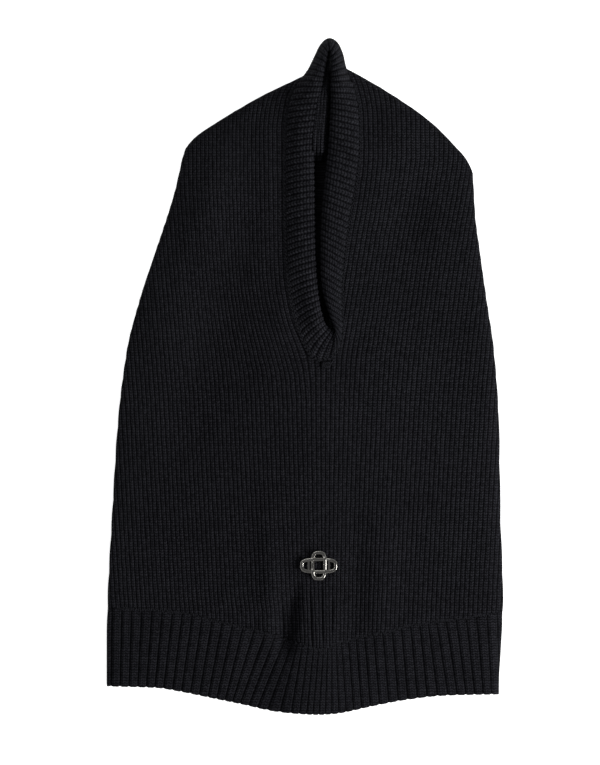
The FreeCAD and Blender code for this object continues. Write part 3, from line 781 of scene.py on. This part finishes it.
def bead_parts():
    """A unit bead: rings and segments of a small ellipsoid along X."""
    rings, segments = 6, 8
    vertices = [(-1, 0, 0)]
    for ring in range(1, rings):
        angle = math.pi * ring / rings
        for segment in range(segments):
            turn = 2 * math.pi * segment / segments
            around = math.sin(angle)
            vertices.append((-math.cos(angle), around * math.cos(turn), around * math.sin(turn)))
    vertices.append((1, 0, 0))
    faces = []
    for segment in range(segments):
        following = (segment + 1) % segments
        faces.append((0, 1 + following, 1 + segment))
        for ring in range(rings - 2):
            low = 1 + ring * segments
            faces.append((low + segment, low + following, low + segments + following,
                          low + segments + segment))
        last = 1 + (rings - 2) * segments
        faces.append((last + segment, last + following, len(vertices) - 1))
    return np.array(vertices, float), faces


BEAD, BEAD_FACES = bead_parts()


def make_beads(name, beads):
    """One piece of many yarn bights. Each bead: centre, heading in degrees, sizes."""
    vertices, faces, uv = [], [], []
    for number, (centre, heading, sizes) in enumerate(beads):
        turn = Matrix.Rotation(math.radians(heading), 3, "Z")
        points = (BEAD * sizes) @ np.array(turn).T + np.array(centre)
        start = len(BEAD) * number
        vertices.append(points)
        faces.extend([tuple(corner + start for corner in face) for face in BEAD_FACES])
        uv.append(np.stack([BEAD[:, 0] * 0.8 + number, BEAD[:, 1]], 1))
    corner_uv = np.concatenate(uv)[np.concatenate(faces)]
    return link_mesh(name, np.concatenate(vertices), faces, corner_uv)


def make_linking_row(name, height, inset):
    """The row of transfer stitches over the join of body and hem."""
    chance = np.random.default_rng(5)
    beads = []
    x = -114.0 + inset
    while x < 115 - inset:
        y = float(curve(JOIN, x))
        slope = math.degrees(math.atan(float(curve(JOIN, x + 1) - curve(JOIN, x - 1)) / 2))
        z = read_height(height, x, y)
        for way in (-1, 1):
            centre = (x + way * 0.62, y + chance.uniform(-0.5, 0.5), z - 0.12)
            sizes = (1.1 * chance.uniform(0.85, 1.1), 0.6, 0.5)
            beads.append((centre, slope + 90 - way * 32 + chance.uniform(-8, 8), sizes))
        x += 2.75 * chance.uniform(0.9, 1.1)
    return make_beads(name, beads)


def make_chain():
    """Plaited chain of linking stitches round the foot of the trim."""
    chance = np.random.default_rng(9)
    path, length = resample_closed(TRIM_PATH, [0, 1], 700)
    foot, lip = path[:, :2], path[:, 2:4]
    ahead = unit(ahead_along(foot))
    away = unit(foot - lip)
    on_panel = [index for index in range(len(foot)) if foot[index, 1] < 178]
    step = max(1, round(2.1 / (length / len(foot))))
    beads = []
    for index in on_panel[::step]:
        x, y = foot[index] + away[index] * 0.5
        z = read_height(front_height, x, y)
        heading = math.degrees(math.atan2(ahead[index, 1], ahead[index, 0]))
        for way in (-1, 1):
            cx = x + away[index, 0] * way * 0.45
            cy = y + away[index, 1] * way * 0.45
            sizes = (1.35 * chance.uniform(0.92, 1.08), 0.52, 0.55)
            beads.append(((cx, cy, z + 0.75), heading + way * 24, sizes))
    return make_beads("trim_chain_stitches", beads)


def make_tack():
    """Bulky tack of yarn at the lower end of the trim."""
    beads = []
    for number in range(5):
        x = 10.9 + 1.15 * number
        heading = 74 - 5 * number
        beads.append(((x, 7.1 + 0.1 * number, FRONT_Z + 1.9), heading, (2.5, 0.50, 0.95)))
    beads.append(((13.0, 5.7, FRONT_Z + 2.2), 14, (2.7, 0.5, 0.6)))
    beads.append(((13.6, 8.4, FRONT_Z + 2.2), 10, (2.5, 0.5, 0.6)))
    return make_beads("bar_tack_yarn", beads)


def make_seam(name, node):
    """Row of yarn bights in the place of an inside seam."""
    low, high = node_box(node)
    side = -1 if (low[0] + high[0]) < 18 else 1
    bound = left_side if side < 0 else right_side
    inset = KNIT + 1.4
    beads = []
    y = low[1] + 1.5
    while y < high[1] - 1.5:
        slope = float(bound(y + 1) - bound(y - 1)) / 2
        scale = math.sqrt(1 + slope ** 2)
        x = float(bound(y)) - side * inset * scale
        heading = math.degrees(math.atan2(1, slope))
        for way in (-1, 1):
            centre = (x + way * 0.4, y, low[2] + 0.75)
            beads.append((centre, heading + way * 26, (1.2, 0.5, 0.6)))
        y += 2.2 / scale
    return make_beads(name, beads)


# ------------------------------------------------------------------ badge


def loop_path(half_x, half_y, count):
    """Closed rounded loop as points, a superellipse near to a rectangle with round ends."""
    angle = np.arange(count) / count * 2 * np.pi
    power = 2 / 3.4
    x = half_x * np.sign(np.cos(angle)) * np.abs(np.cos(angle)) ** power
    y = half_y * np.sign(np.sin(angle)) * np.abs(np.sin(angle)) ** power
    points = np.stack([x, y], 1)
    even, _ = resample_closed(points, [0, 1], count)
    return even


STROKE = 2.1                       # width of the badge's strokes
LOOP_HALF = 4.8                    # half the width of each loop


def make_badge():
    """Two rounded loops that pass over and under each other, with bevelled strokes."""
    middle = (BADGE_LOW + BADGE_HIGH) / 2
    half = (BADGE_HIGH - BADGE_LOW) / 2
    narrow = LOOP_HALF - STROKE / 2
    loops = ((narrow, half[1] - STROKE / 2, 1), (half[0] - STROKE / 2, narrow, -1))
    base = BADGE_LOW[2] - 0.55
    section = np.array([(-1.0, 0.0), (-1.0, 1.12), (-0.60, 1.5), (0.60, 1.5), (1.0, 1.12),
                        (1.0, 0.0)])
    columns, count = len(section), 240
    pieces = []
    for number, (half_x, half_y, over) in enumerate(loops):
        path = loop_path(half_x, half_y, count)
        ahead = unit(ahead_along(path))
        across = np.stack([ahead[:, 1], -ahead[:, 0]], 1)
        weave = np.zeros(count)
        for corner_x, corner_y in ((1, 1), (-1, -1), (1, -1), (-1, 1)):
            gap = np.hypot(path[:, 0] - corner_x * narrow, path[:, 1] - corner_y * narrow)
            weave += over * corner_x * corner_y * np.exp(-(gap / 2.0) ** 2)
        lift = 0.55 + 0.5 * weave
        points = np.empty((count, columns, 3))
        for axis in (0, 1):
            offset = across[:, None, axis] * section[:, 0] * STROKE / 2
            points[..., axis] = middle[axis] + path[:, None, axis] + offset
        points[..., 2] = base + lift[:, None] + section[:, 1]
        ring = np.arange(count)[:, None] * columns + np.arange(columns)[None, :]
        right = np.roll(ring, -1, 1)
        faces = np.stack([ring, right, np.roll(right, -1, 0), np.roll(ring, -1, 0)], -1)
        piece = new_object(f"badge_loop_{number + 1}", points.reshape(-1, 3), faces.reshape(-1, 4))
        bevel = piece.modifiers.new("soft_edges", "BEVEL")
        bevel.width = 0.09 * MM
        bevel.segments = 2
        bevel.limit_method = "ANGLE"
        bevel.angle_limit = math.radians(25)
        pieces.append(piece)
    pieces.append(make_badge_bars())
    return pieces


def make_badge_bars():
    """Two low bars behind the side loops, which the legs grow from."""
    low, high = node_box("badge_legs")
    middle_y = (low[1] + high[1]) / 2
    profile = np.array([(-0.5, -0.5, 0.0), (0.5, -0.5, 0.0), (0.5, 0.5, 0.0), (-0.5, 0.5, 0.0),
                        (-0.42, -0.42, 1.0), (0.42, -0.42, 1.0), (0.42, 0.42, 1.0),
                        (-0.42, 0.42, 1.0)])
    sides = np.array([(0, 3, 2, 1), (4, 5, 6, 7), (0, 1, 5, 4), (1, 2, 6, 5), (2, 3, 7, 6),
                      (3, 0, 4, 7)])
    points, faces = [], []
    for number, x in enumerate((low[0] + 0.9, high[0] - 0.9)):
        points.append(profile * [1.5, 8.0, 0.55] + [x, middle_y, BADGE_LOW[2] - 0.25])
        faces.append(sides + 8 * number)
    return new_object("badge_bars", np.concatenate(points), np.concatenate(faces), smooth=False)


# ------------------------------------------------------------------ labels


def make_label(name, node, waves, fold):
    """A woven label: a thin slab with a slightly wavy face, where it lies in the frame."""
    low, high = node_box(node)
    columns, rows = 41, 25
    across = np.linspace(low[0], high[0], columns)
    along = np.linspace(low[1], high[1], rows)
    x, y = np.meshgrid(across, along)
    wave = 0.12 * np.sin(2 * np.pi * waves * (x - low[0]) / (high[0] - low[0])) * np.cos(y / 5)
    top = high[2] - 0.15 + wave
    bottom = low[2] + 0.12 + wave * 0.3
    if fold:
        top = top - 0.25 * ramp(x, high[0] - 1.5, high[0])
    uv = np.stack([x / 0.25, y / 0.25], -1)
    return shell(name, np.stack([x, y, top], -1), np.stack([x, y, bottom], -1), uv)


def make_label_tacks(name, node, centres):
    low, high = node_box(node)
    beads = []
    for x, y in centres:
        for step in range(5):
            beads.append(((x, y + (step - 2) * 0.8, high[2] - 0.25), 8, (0.62, 0.2, 0.18)))
    return make_beads(name, beads)


# ------------------------------------------------------------------ materials


class Nodes:
    """Small helper that adds and links shader nodes."""

    def __init__(self, name):
        self.material = bpy.data.materials.new(name)
        self.material.use_nodes = True
        self.tree = self.material.node_tree
        self.shader = self.tree.nodes["Principled BSDF"]

    def add(self, kind, **settings):
        node = self.tree.nodes.new(kind)
        for key, value in settings.items():
            setattr(node, key, value)
        return node

    def put(self, socket, value):
        if isinstance(value, bpy.types.NodeSocket):
            self.tree.links.new(value, socket)
        else:
            socket.default_value = value

    def math(self, operation, first, second=0.0, third=None):
        node = self.add("ShaderNodeMath", operation=operation)
        self.put(node.inputs[0], first)
        self.put(node.inputs[1], second)
        if third is not None:
            self.put(node.inputs[2], third)
        return node.outputs[0]

    def times(self, first, second):
        return self.math("MULTIPLY", first, second)

    def scaled(self, value, factor, offset):
        return self.math("MULTIPLY_ADD", value, factor, offset)

    def off_middle(self, value):
        """0 in the middle of each unit of a coordinate, 1 at its ends."""
        part = self.math("SUBTRACT", self.math("FRACT", value), 0.5)
        return self.times(self.math("ABSOLUTE", part), 2.0)

    def stitches(self):
        """The stitch coordinates of a piece: across its ribs, and along them."""
        split = self.add("ShaderNodeSeparateXYZ")
        self.put(split.inputs[0], self.add("ShaderNodeUVMap", uv_map="knit").outputs["UV"])
        return split.outputs[0], split.outputs[1]

    def place(self):
        return self.add("ShaderNodeTexCoord").outputs["Object"]

    def surface(self, settings):
        for name, value in settings.items():
            self.put(self.shader.inputs[name], value)

    def noise(self, vector, scale, detail=2.0):
        node = self.add("ShaderNodeTexNoise")
        node.inputs["Scale"].default_value = scale
        node.inputs["Detail"].default_value = detail
        self.put(node.inputs["Vector"], vector)
        return node.outputs["Fac"]

    def mix(self, share, first, second):
        node = self.add("ShaderNodeMix", data_type="RGBA")
        self.put(node.inputs["Factor"], share)
        node.inputs["A"].default_value = (*first, 1.0)
        node.inputs["B"].default_value = (*second, 1.0)
        return node.outputs["Result"]

    def bump(self, height, distance, strength=1.0):
        node = self.add("ShaderNodeBump")
        node.inputs["Distance"].default_value = distance
        node.inputs["Strength"].default_value = strength
        self.put(node.inputs["Height"], height)
        self.put(self.shader.inputs["Normal"], node.outputs["Normal"])


WOOL = {"Specular IOR Level": 0.02, "Sheen Weight": 0.004, "Sheen Roughness": 0.4}
KNIT_DARK = (0.0007, 0.0007, 0.0009)


def knit_material(name, light, paired, slant, depth):
    """Knit of V stitches, one column to a unit of u. Where paired, two columns share a rib."""
    nodes = Nodes(name)
    u, v = nodes.stitches()
    place = nodes.place()
    v = nodes.scaled(nodes.noise(place, 380.0, 1.0), 0.5, v)
    shake = nodes.math("SUBTRACT", nodes.noise(place, 700.0, 1.0), 0.5)
    u = nodes.scaled(shake, 0.16, u)
    off_centre = nodes.off_middle(u)
    slanted = nodes.math("SUBTRACT", v, nodes.times(off_centre, slant))
    # leg: each stitch's profile, high in its middle and low at its ends; in the colour it is painted
    # shade between the stitches
    leg = nodes.math("SINE", nodes.times(nodes.math("FRACT", slanted), math.pi))
    leg = nodes.scaled(leg, 0.95, 0.05)
    # across falls towards the valleys between the ribs, and where paired also between the 2x2 ribs:
    # painted shade in the valleys
    across = nodes.math("SUBTRACT", 1.0, nodes.math("POWER", off_centre, 2.2))
    if paired:
        rib = nodes.off_middle(nodes.times(u, 0.5))
        flat = nodes.scaled(nodes.math("POWER", off_centre, 4.0), -0.3, 1.0)
        crest = nodes.math("SUBTRACT", 1.0, nodes.math("POWER", rib, 5.0))
        across = nodes.times(flat, crest)
    # A groove down the middle of each rib where the legs of the V part; in the colour it is a
    # painted shade line
    split_groove_and_shade = nodes.math("MINIMUM", nodes.scaled(off_centre, 2.6, 0.3), 1.0)
    body = nodes.times(leg, nodes.times(across, split_groove_and_shade))
    patch = nodes.noise(place, 24.0, 3.0)
    fibre = nodes.noise(place, 2600.0, 3.0)
    each = nodes.add("ShaderNodeCombineXYZ")
    nodes.put(each.inputs[0], nodes.math("FLOOR", nodes.times(u, 2.0)))
    nodes.put(each.inputs[1], nodes.math("FLOOR", slanted))
    chance = nodes.add("ShaderNodeTexWhiteNoise", noise_dimensions="2D")
    nodes.put(chance.inputs["Vector"], each.outputs[0])
    # Tone of the colour: the stitch profile paints shade into the valleys and between the stitches,
    # and random patches, stitches and fibres vary it
    tone = nodes.times(body, nodes.scaled(patch, 0.6, 0.7))
    tone = nodes.times(tone, nodes.scaled(chance.outputs["Value"], 0.7, 0.65))
    tone = nodes.times(tone, nodes.scaled(fibre, 1.4, 0.3))
    nodes.bump(nodes.scaled(body, 0.85, nodes.times(fibre, 0.22)), depth)
    nodes.surface({"Base Color": nodes.mix(tone, KNIT_DARK, light),
                   "Roughness": nodes.scaled(fibre, 0.18, 0.72),
                   "Sheen Tint": (0.72, 0.76, 0.95, 1.0), **WOOL})
    return nodes.material


def yarn_material(name, dark, light):
    """Plied yarn: slanting twist lines along each bight."""
    nodes = Nodes(name)
    u, v = nodes.stitches()
    ply = nodes.math("ABSOLUTE", nodes.math("SINE", nodes.times(nodes.scaled(u, 5.0, v), 3.1)))
    fibre = nodes.noise(nodes.place(), 2400.0, 3.0)
    tone = nodes.times(ply, nodes.scaled(fibre, 0.9, 0.5))
    nodes.bump(nodes.math("ADD", ply, nodes.times(fibre, 0.4)), 0.00018)
    nodes.surface({"Base Color": nodes.mix(tone, dark, light),
                   "Roughness": nodes.scaled(fibre, 0.2, 0.7), **WOOL})
    return nodes.material


def metal_material(name, dark, light, rough):
    """Polished metal with faint scratches and a slightly uneven tarnish."""
    nodes = Nodes(name)
    place = nodes.place()
    cloud = nodes.noise(place, 260.0, 3.0)
    scratch = nodes.noise(place, 5200.0, 2.0)
    nodes.bump(scratch, 0.000012)
    nodes.surface({"Base Color": nodes.mix(cloud, dark, light),
                   "Roughness": nodes.scaled(scratch, 0.10, rough), "Metallic": 1.0})
    return nodes.material


def satin_material(name, dark, light):
    """Woven satin label: fine warp and weft."""
    nodes = Nodes(name)
    warp, weft = (nodes.math("ABSOLUTE", nodes.math("SINE", nodes.times(part, 3.14)))
                  for part in nodes.stitches())
    weave = nodes.times(warp, nodes.scaled(weft, 0.5, 0.5))
    nodes.bump(weave, 0.00008)
    nodes.surface({"Base Color": nodes.mix(weave, dark, light),
                   "Roughness": nodes.scaled(weave, -0.15, 0.55), "Sheen Weight": 0.2})
    return nodes.material


def pale_material(name, colour):
    """Studio white for the floor, which glows a little so that it stays even."""
    nodes = Nodes(name)
    lighter = tuple(min(1.0, part * 1.01) for part in colour)
    nodes.surface({"Base Color": nodes.mix(nodes.noise(nodes.place(), 90.0, 2.0), colour, lighter),
                   "Roughness": 0.9, "Specular IOR Level": 0.1,
                   "Emission Color": (1.0, 1.0, 1.0, 1.0), "Emission Strength": 0.82})
    return nodes.material


def dress(piece, material):
    piece.data.materials.clear()
    piece.data.materials.append(material)


# ------------------------------------------------------------------ camera, floor and light


CAMERA_HIGH = 3.2                        # in metres over the surface
FRONT_HIGH = 0.012                       # height of the plane that is in scale, in metres
VIEW_TALL = 1.130                        # height of the picture over the length of the garment
VIEW_X, VIEW_Y = -3.05, -3.66            # middle of the picture


def make_camera():
    data = bpy.data.cameras.new("camera")
    camera = bpy.data.objects.new("camera", data)
    bpy.context.scene.collection.objects.link(camera)
    frame_tall = (CAD_BOX[1][1] - CAD_BOX[0][1]) * VIEW_TALL
    data.sensor_width = 36.0
    data.lens = data.sensor_width * (CAMERA_HIGH - FRONT_HIGH) / frame_tall
    data.clip_end = 30.0
    camera.location = (VIEW_X * MM, VIEW_Y * MM, CAMERA_HIGH)
    bpy.context.scene.camera = camera


def make_floor():
    corners = [(-6000, -6000, 0), (6000, -6000, 0), (6000, 6000, 0), (-6000, 6000, 0)]
    floor = new_object("studio_floor", corners, [(0, 1, 2, 3)], smooth=False)
    dress(floor, pale_material("floor_pale", (0.60, 0.60, 0.60)))


def make_light(name, place, size, power, colour=(1, 1, 1)):
    data = bpy.data.lights.new(name, "AREA")
    data.shape = "RECTANGLE"
    data.size, data.size_y = size
    data.energy = power
    data.color = colour
    light = bpy.data.objects.new(name, data)
    light.location = place
    aim = Vector((0, 0, 0)) - Vector(place)
    light.rotation_euler = aim.to_track_quat("-Z", "Y").to_euler()
    bpy.context.scene.collection.objects.link(light)


def make_world():
    world = bpy.data.worlds.new("studio")
    bpy.context.scene.world = world
    world.use_nodes = True
    tree = world.node_tree
    back = tree.nodes["Background"]
    place = tree.nodes.new("ShaderNodeTexCoord")
    split = tree.nodes.new("ShaderNodeSeparateXYZ")
    tree.links.new(place.outputs["Generated"], split.inputs[0])
    blend = tree.nodes.new("ShaderNodeValToRGB")
    low, high = blend.color_ramp.elements
    low.position, high.position = 0.0, 1.0
    low.color = (0.36, 0.36, 0.36, 1)
    high.color = (0.13, 0.13, 0.135, 1)
    tree.links.new(split.outputs[2], blend.inputs[0])
    tree.links.new(blend.outputs[0], back.inputs[0])
    back.inputs[1].default_value = 1.0


def make_studio():
    make_camera()
    make_floor()
    make_world()
    make_light("key_right", (1.50, -0.56, 0.98), (0.9, 0.9), 53.5)
    make_light("fill_top", (-0.7, 1.3, 1.8), (1.2, 1.2), 8)
    make_light("fill_crown", (-0.10, 0.24, 0.50), (0.3, 0.3), 0.5)
    bpy.context.scene.view_settings.view_transform = "Standard"


# ------------------------------------------------------------------ putting it together

ROOT = "root"


def settle(piece, slot, material, *nodes):
    """Give a piece its body and material, and hide the CAD parts of the nodes that it stands for.
    The slot is not used.
    """
    dress(piece, material)
    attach(piece, ROOT)
    if nodes:
        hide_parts(*nodes)


def build():
    make_studio()
    body_knit = knit_material("body_knit", (0.0164, 0.0166, 0.0200), False, 0.35, 0.00035)
    hem_knit = knit_material("hem_knit", (0.0146, 0.0148, 0.0179), True, 0.35, 0.00045)
    trim_knit = knit_material("trim_knit", (0.0212, 0.0215, 0.0257), False, 0.40, 0.00050)
    yarn = yarn_material("linking_yarn", (0.0006, 0.0006, 0.0008), (0.0175, 0.0178, 0.0210))
    chrome = metal_material("badge_metal", (0.32, 0.31, 0.29), (0.44, 0.43, 0.40), 0.07)
    steel = metal_material("plate_metal", (0.35, 0.35, 0.36), (0.50, 0.50, 0.51), 0.28)
    black_satin = satin_material("label_satin", (0.004, 0.004, 0.005), (0.02, 0.02, 0.022))
    white_satin = satin_material("care_satin", (0.55, 0.55, 0.53), (0.75, 0.75, 0.73))

    left, right, back = make_body()
    settle(left, "body_knit", body_knit, "front_panel")
    settle(right, "body_knit", body_knit, "front_panel")
    settle(back, "body_knit", body_knit, "back_panel")

    hem_front = make_hem("hem_band_front", hem_front_height, 1, HEM_RIB, 13, FRONT_LAYER)
    hem_back = make_hem("hem_band_back", back_height, -1, HEM_BACK_RIB, 6, BACK_LAYER)
    settle(hem_front, "hem_knit", hem_knit, "front_hem_band")
    settle(hem_back, "hem_knit", hem_knit, "back_hem_band")

    trim = make_trim()
    lining = make_inner_knit()
    settle(trim, "trim_knit", trim_knit, "face_trim")
    settle(lining, "trim_knit", trim_knit, "face_trim")

    settle(make_linking_row("front_linking_yarn", front_height, 0.0), "linking_yarn", yarn,
           "front_hem_linking")
    settle(make_linking_row("back_linking_yarn", back_inner_height, 4.0), "linking_yarn", yarn,
           "back_hem_linking")
    settle(make_chain(), "linking_yarn", yarn, "trim_linking_chain")
    settle(make_tack(), "linking_yarn", yarn, "trim_bar_tack")
    for node in ("side_seam_left", "side_seam_right", "crown_seam_left", "crown_seam_right"):
        settle(make_seam(f"{node}_yarn", node), "linking_yarn", yarn, node)

    for piece in make_badge():
        settle(piece, "badge_metal", chrome, "badge_emblem")
    dress(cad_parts["badge_legs"], chrome)
    dress(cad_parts["badge_backing_plate"], steel)

    neck_low, neck_high = node_box("neck_label")
    neck = make_label("neck_label_satin", "neck_label", 1.5, False)
    settle(neck, "label_satin", black_satin, "neck_label")
    spots = []
    for x in (neck_low[0] + 1.0, neck_high[0] - 1.0):
        for y in (neck_low[1] + 4.0, neck_high[1] - 4.0):
            spots.append((x, y))
    settle(make_label_tacks("neck_label_thread", "neck_label_stitches", spots), "label_thread", yarn,
           "neck_label_stitches")

    care_low, care_high = node_box("care_label")
    care = make_label("care_label_satin", "care_label", 0.8, True)
    settle(care, "care_satin", white_satin, "care_label")
    middle_y = (care_low[1] + care_high[1]) / 2
    spots = [(care_low[0] + 2.0, middle_y - 6.0), (care_low[0] + 2.0, middle_y + 6.0)]
    settle(make_label_tacks("care_label_thread", "care_label_stitches", spots), "label_thread", yarn,
           "care_label_stitches")


build()
